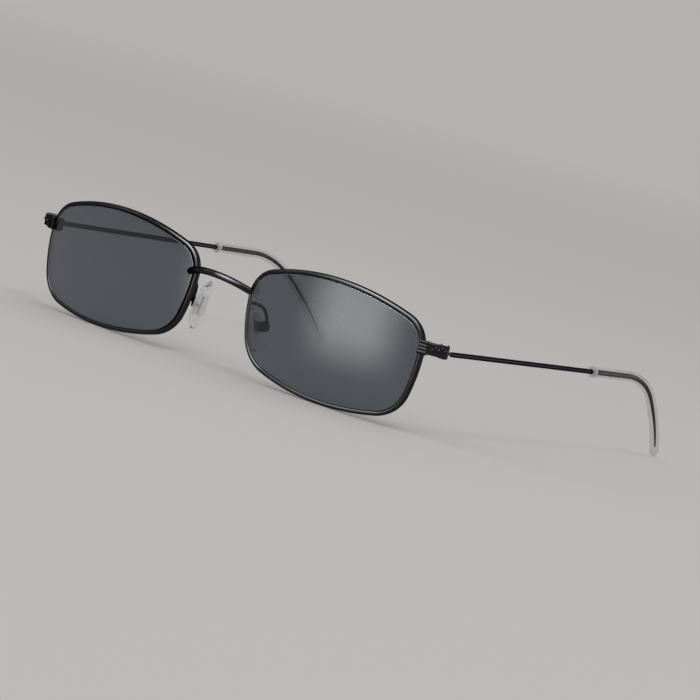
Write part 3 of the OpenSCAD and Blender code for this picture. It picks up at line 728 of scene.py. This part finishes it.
# %% Draw the temple wires and soften their eyes
EYE_OVERLAP = 0.6
for name, side in SIDES.items():
    body = f"{name}_temple_arm"
    line, across, above = temple_line(lengths, side)
    rod = draw_wire(line, across, radii * MM, round_section, plating)
    finish_piece(rod, f"{name}_temple_wire", body, plating, None)
    eye_end = stand(HINGE + [0, NECK + EYE_OVERLAP, 0], side)[0] / MM
    eye = soften(f"{name}_temple", 0.05, 3, cut=(Vector(eye_end), Vector((0, 1, 0))))
    finish_piece(eye, f"{name}_temple_eye", body, plating, f"{name}_temple", sharp=70)

# %% [markdown]
# ## The clear tips
# A tip is a sleeve of hard clear plastic with a thick collar, pushed over the end of the wire
# and bent with it behind the ear. Its leg is a bit flattened and ends in a round nose. The
# wire tree keeps one section all along, so the tips are skinned over rings whose width and
# height change. The collar is a piece of its own, because the mould leaves its face frosted.

# %% The shapes of collar and sleeve
# Each row is a length from the tip's mouth, with a half width and a half height.
COLLAR = np.array([(0, 0.75), (0.0, 1.2), (0.03, 1.38), (0.1, 1.5), (0.22, 1.57), (0.4, 1.6), (0.95, 1.6),
                   (1.15, 1.56), (1.3, 1.48), (1.42, 1.42), (1.42, 0.75)])[:, [0, 1, 1]]
MOUTH_SHAPE = [(1.44, 0.4, 0.4), (1.44, 1.38, 1.38), (1.5, 1.41, 1.41), (1.7, 1.41, 1.41),
               (2.4, 1.44, 1.44)]
# The nose closes on a tiny last ring, just short of its length.
NOSE_LEN, NOSE_POLE, POLE_R = 2.2, 2.18, 0.02
nose_from = STRAIGHT + BEND_LEN + LEG - NOSE_LEN
# The sleeve at the end of its mouth, at the bend, at the leg and at the nose.
STATIONS = [(2.4, 1.45, 1.45), (STRAIGHT, 1.37, 1.41), (STRAIGHT + BEND_LEN, 1.23, 1.53),
            (nose_from, 1.23, 1.65)]


def sleeve_shape():
    """Mouth, even stretches between the stations, and a round nose."""
    rows = list(MOUTH_SHAPE)
    for start, end, steps in zip(STATIONS, STATIONS[1:], (12, 40, 40)):
        rows += list(np.linspace(start, end, steps + 1)[1:])
    wide, high = STATIONS[-1][1:]
    for angle in np.radians(np.arange(6, 90, 6)):
        rows.append((nose_from + NOSE_POLE * math.sin(angle), max(POLE_R, wide * math.cos(angle)),
                     max(POLE_R, high * math.cos(angle))))
    return np.array(rows)


print("sleeve:", len(sleeve_shape()), "rings, collar:", len(COLLAR), "rings")

# %% Mould the tips
spin = np.linspace(0, 2 * math.pi, 49)[:-1]


def turned_along(shape, side):
    """Rings round the temple's line, one for each row of the shape."""
    lines = zip(*temple_line(ROD_LEN + shape[:, 0], side), shape[:, 1], shape[:, 2])
    return [centre + (np.outer(np.cos(spin), across) * wide + np.outer(np.sin(spin), above) * high) * MM
            for centre, across, above, wide, high in lines]


for name, side in SIDES.items():
    body = f"{name}_temple_arm"
    sleeve, ring = skin(turned_along(sleeve_shape(), side)), skin(turned_along(COLLAR, side))
    finish_piece(sleeve, f"{name}_clear_tip", body, clear_tip, f"{name}_tip", sharp=40)
    finish_piece(ring, f"{name}_tip_collar", body, frosted_clear, None, sharp=40)

# %% [markdown]
# ## The pad arms
# A thin wire is brazed behind each rim, loops up and back, and comes down to the little box
# that holds the pad. An arc and a straight could stand in for it, but the real one is bent by
# hand, without a plain radius. Two Bezier curves give that, because their handles can meet in
# nearly one direction, and the wire tree draws them.

# %% The place of a pad
BOX_AT = np.array([11.9, 7.5, -3.0])
SPLAY, FLARE, TILT = math.radians(9), math.radians(13), math.radians(12)


def from_box(points):
    """The pad's own frame: x towards the nose, y back, z up. Its feet stand apart and back."""
    x, y, z = np.asarray(points, float).reshape(-1, 3).T
    back = y * math.cos(TILT) - z * math.sin(TILT)
    up = y * math.sin(TILT) + z * math.cos(TILT)
    inward = x * math.cos(FLARE) + up * math.sin(FLARE)
    high = up * math.cos(FLARE) - x * math.sin(FLARE)
    return np.stack([BOX_AT[0] - inward * math.cos(SPLAY) + back * math.sin(SPLAY),
                     BOX_AT[1] + inward * math.sin(SPLAY) + back * math.cos(SPLAY), BOX_AT[2] + high], 1)


print("left pad box, mm:", BOX_AT.tolist())

# %% Bend the pad arms
ARM_R, BOX_BACK, SEATED = 0.45, 0.85, 0.06
ARM_END_RADII = [0.42, 0.36, 0.22]
# Where the arm leaves the rim, and the top of its loop.
ROOT = np.array([SPACING / 2 - RIM_W / 2 + 0.85, 2.3, 2.7])
TOP = np.array([ROOT[0] + 1.7, 5.3, 2.2])


def bezier(start, leaving, arriving, end, steps):
    """Points on a cubic curve, which leaves and arrives along its two handles."""
    t = steps[:, None]
    left = 1 - t
    return (left ** 3 * start + 3 * t * left ** 2 * leaving + 3 * t * t * left * arriving
            + t ** 3 * end)


def arm_path():
    """From the rim up to the top of the loop, and down to the back of the box."""
    behind = -BOX_BACK - ARM_R - SEATED
    above_end, end = from_box([[behind, 0, 2.4], [behind, 0, -0.5]])
    rising = bezier(ROOT, ROOT + [0.2, 1.2, 0.3], TOP - [0.6, 1.1, -0.5], TOP, np.linspace(0, 1, 25)[:-1])
    falling = bezier(TOP, TOP + [0.7, 1.3, -0.6], above_end, end, np.linspace(0, 1, 33))
    return np.vstack([rising, falling])


def unit(vectors):
    """The same directions, each of length one."""
    return vectors / np.linalg.norm(vectors, axis=1)[:, None]


arm = arm_path()
run = unit(np.gradient(arm, axis=0))
sideways = unit(np.cross(np.broadcast_to([1.0, 0, 0], run.shape), run))
radii = np.full(len(arm), ARM_R)
radii[-3:] = ARM_END_RADII
for name, side in SIDES.items():
    bent = draw_wire(stand(arm, side), stand_direction(sideways, side), radii * MM, round_section, plating)
    finish_piece(bent, f"{name}_pad_arm_wire", "front", plating, f"{name}_pad_arm")

# %% [markdown]
# ## The pads
# A pad is a soft clear lozenge, moulded round a steel plate that shows through it. A squashed
# sphere comes near, but a real pad has a fuller outline, a narrower top and sides that curl
# back a little. So it is skinned over level rings, and each ring follows the same formulas.

# %% Mould the pads
PAD_H, PAD_W, PAD_T = 14.6, 7.4, 2.3
PAD_OFF, PAD_FORE, PAD_UP = 2.15, 0.8, 0.7
NARROWING, CURL, SQUARENESS = 0.12, 0.12, 0.8
POLE_TO_POLE = np.radians(np.linspace(-87, 87, 56))
around = np.linspace(0, 2 * math.pi, 65)[:-1]


def pad_ring(height):
    """A level ring of the pad at a height from its middle."""
    share = height / (PAD_H / 2)
    wide = PAD_W / 2 * math.sqrt(max(0, 1 - share * share)) ** 0.85 * (1 - NARROWING * share)
    thick = PAD_T / 2 * max(0, 1 - abs(share) ** 3) ** 0.55
    out, along = np.cos(around), np.sin(around)
    bulge = thick * np.sign(out) * np.abs(out) ** SQUARENESS
    x = PAD_OFF + bulge - CURL * wide * along * along
    return np.stack([x, wide * along - PAD_FORE, np.full(len(around), height + PAD_UP)], 1)


pad_rings = [from_box(pad_ring(height)) for height in PAD_H / 2 * np.sin(POLE_TO_POLE)]
for name, side in SIDES.items():
    pad = skin([stand(ring, side) for ring in pad_rings])
    finish_piece(pad, f"{name}_soft_pad", f"{name}_nose_pad", clear_pad, f"{name}_pad")

# %% Put the two sections away
for section in (round_section, rim_section):
    bpy.data.objects.remove(section)
print("all wires are drawn")

# %% [markdown]
# ## The floor
# The glasses stand on a plain pale floor, which shows their shadow. One colour would do, but
# its far edge would show as a line. So its colour goes over into the backdrop's, far from the
# glasses. It is left out of reflections: black wire that mirrors pale ground looks grey.

# %% Lay the floor
BACKDROP, LIT = (0.46, 0.438, 0.436), 0.62
NEAR, FAR = (0.576, 0.561, 0.553), tuple(value / LIT for value in BACKDROP)
FLOOR_HALF, FADE_FROM, FADE_TO = 9, 0.2, 4.0
pale = start_finish("pale_floor", NEAR, Roughness=0.9, Specular_IOR_Level=0.0)
tree = pale.node_tree
at = add_node(tree, "ShaderNodeTexCoord").outputs["Object"]
away = add_node(tree, "ShaderNodeVectorMath", {0: at}, operation="LENGTH")
span = add_node(tree, "ShaderNodeMapRange", {
    "Value": away.outputs["Value"], "From Min": FADE_FROM, "From Max": FADE_TO},
    interpolation_type="SMOOTHSTEP")
blend = add_node(tree, "ShaderNodeMix", {
    "A": (*NEAR, 1), "B": (*FAR, 1), "Factor": span.outputs["Result"]}, data_type="RGBA")
feed(tree, tree.nodes["Principled BSDF"], {"Base Color": blend.outputs["Result"]})
floor_mesh = bpy.data.meshes.new("floor")
corners = [(x * FLOOR_HALF, y * FLOOR_HALF, 0) for x, y in ((-1, -1), (1, -1), (1, 1), (-1, 1))]
floor_mesh.from_pydata(corners, [], [(0, 1, 2, 3)])
floor_mesh.materials.append(pale)
floor = bpy.data.objects.new("floor", floor_mesh)
bpy.context.collection.objects.link(floor)
floor.visible_glossy = False
print("floor:", 2 * FLOOR_HALF, "m wide")

# %% [markdown]
# ## The room
# Black metal and dark glass show their form by what they mirror. A real room could be built
# round them, but only its light and its brightest places matter. So the world is one even
# light and a plain backdrop, and the mirrored backdrop has two soft glows like windows. The
# glows show only in reflections, so the light on everything else stays even.

# %% Surround the glasses with an even room
world = bpy.data.worlds.new("studio")
bpy.context.scene.world = world
world.use_nodes = True
room = world.node_tree
room.nodes.clear()


def background(colour, strength=1.0):
    """An even background. Its strength is a number or the output of a node."""
    inputs = {"Color": (*colour, 1), "Strength": strength}
    return add_node(room, "ShaderNodeBackground", inputs).outputs["Background"]


def choose(which, otherwise, chosen):
    """Shows one background to the rays that `which` picks, and the other to the rest."""
    return add_node(room, "ShaderNodeMixShader", {"Fac": which, 1: otherwise, 2: chosen}).outputs["Shader"]


def glow(toward, inner, outer, brightness):
    """How much brighter the room looks near one direction. It fades between two angles."""
    at = add_node(room, "ShaderNodeTexCoord").outputs["Generated"]
    near = add_node(room, "ShaderNodeVectorMath", {0: at, 1: Vector(toward).normalized()},
                    operation="DOT_PRODUCT")
    soft = add_node(room, "ShaderNodeMapRange", {
        "Value": near.outputs["Value"], "From Min": math.cos(math.radians(outer)),
        "From Max": math.cos(math.radians(inner)), "To Max": brightness}, interpolation_type="SMOOTHSTEP")
    return soft.outputs["Result"]


ray = add_node(room, "ShaderNodeLightPath").outputs
front_window = glow((0.06, -0.79, 0.61), 16, 32, 20.0)
rear_window = glow((0.55, 0.83, 0.1), 6, 24, 2.2)
windows = math_node(room, "ADD", front_window, rear_window)
mirrored = background(BACKDROP, math_node(room, "ADD", windows, 1.0))
lit_or_mirrored = choose(ray["Is Glossy Ray"], background((LIT, LIT, LIT)), mirrored)
seen = math_node(room, "MAXIMUM", ray["Is Camera Ray"], ray["Is Transmission Ray"])
whole_room = choose(seen, lit_or_mirrored, background(BACKDROP))
feed(room, add_node(room, "ShaderNodeOutputWorld"), {"Surface": whole_room})
print("room light:", LIT, "backdrop:", BACKDROP)

# %% [markdown]
# ## The lamps
# A studio hangs wide soft panels, because a small lamp would draw hard shadows under thin
# wires. One hangs above and one at the side. A panel's power is worked out from its size and
# the brightness seen on it, so a panel can change size and keep its look.

# %% Hang the soft lamps
def softbox(name, at, look_at, wide, tall, brightness):
    """A soft panel that faces a place. Clear pieces don't show it through them."""
    lamp = bpy.data.lights.new(name, "AREA")
    lamp.shape, lamp.size, lamp.size_y = "RECTANGLE", wide, tall
    lamp.energy = brightness * math.pi * wide * tall
    panel = bpy.data.objects.new(name, lamp)
    panel.location = at
    panel.rotation_mode = "QUATERNION"
    panel.rotation_quaternion = (Vector(look_at) - Vector(at)).to_track_quat("-Z", "Y")
    panel.visible_transmission = False
    bpy.context.collection.objects.link(panel)
    print(f"{name}: {lamp.energy:.1f} W")
    return panel


softbox("overhead", (0.7, -0.3, 1.6), (0, 0, 0), 0.9, 0.7, 3.6)
softbox("side", (-1.2, -0.9, 0.9), (0, 0, 0), 0.5, 0.8, 1.6)

# %% [markdown]
# Two bright cards stand close in front of the left lens, as they do in a studio. The lower
# one shows as a pale field over the upper part of that lens, and the upper one as bright
# lines along the left rim. A lamp's edge would show as a hard line in the glass, so the cards
# fade from their middle to their edges.

# %% Stand the bright cards
CARD_EDGE, CARD_MIDDLE = 0.5, 0.08


def fade_to_edges(card):
    """Dims a card towards its edges. It shows in reflections and lights nothing else."""
    card.visible_diffuse = card.visible_camera = False
    card.data.use_nodes = True
    tree = card.data.node_tree
    spot = add_node(tree, "ShaderNodeNewGeometry").outputs["Parametric"]
    place = add_node(tree, "ShaderNodeSeparateXYZ", {0: spot}).outputs
    inward = []
    for way in ("X", "Y"):
        off_middle = math_node(tree, "ABSOLUTE", math_node(tree, "SUBTRACT", place[way], 0.5))
        fade = add_node(tree, "ShaderNodeMapRange", {
            "Value": off_middle, "From Min": CARD_EDGE, "From Max": CARD_MIDDLE},
            interpolation_type="SMOOTHSTEP")
        inward.append(fade.outputs["Result"])
    feed(tree, tree.nodes["Emission"], {"Strength": math_node(tree, "MULTIPLY", *inward)})


fade_to_edges(softbox("lens_card", (-0.008, -0.215, 0.018), (0.036, -0.068, 0.018), 0.14, 0.14, 4.2))
fade_to_edges(softbox("rim_card", (-0.01, -0.2, 0.14), (0.036, -0.068, 0.03), 0.18, 0.15, 12.0))

# %% [markdown]
# ## The camera
# The camera stands where a photographer would: in front, to the wearer's left, low, and rolled
# a little. It could be aimed with a constraint, but that can't roll it. So its three
# directions are given, squared to each other, and put into its matrix.

# %% Stand the camera
CAMERA_AT = (0.53298, -0.79785, 0.09779)
right = Vector((0.78745, 0.55641, 0.26522)).normalized()
forward = Vector((-0.55367, 0.82760, -0.09238)).normalized()
above = right.cross(forward).normalized()
right = forward.cross(above)
camera = bpy.data.cameras.new("camera")
camera.sensor_width, camera.lens = 36.0, 176.61
camera.clip_start, camera.clip_end = 0.02, 60
eye = bpy.data.objects.new("camera", camera)
eye.matrix_world = Matrix.Translation(CAMERA_AT) @ Matrix((right, above, -forward)).transposed().to_4x4()
bpy.context.collection.objects.link(eye)
bpy.context.scene.camera = eye
bpy.context.scene.view_settings.view_transform = "Standard"
print("camera lens, mm:", round(camera.lens, 2))
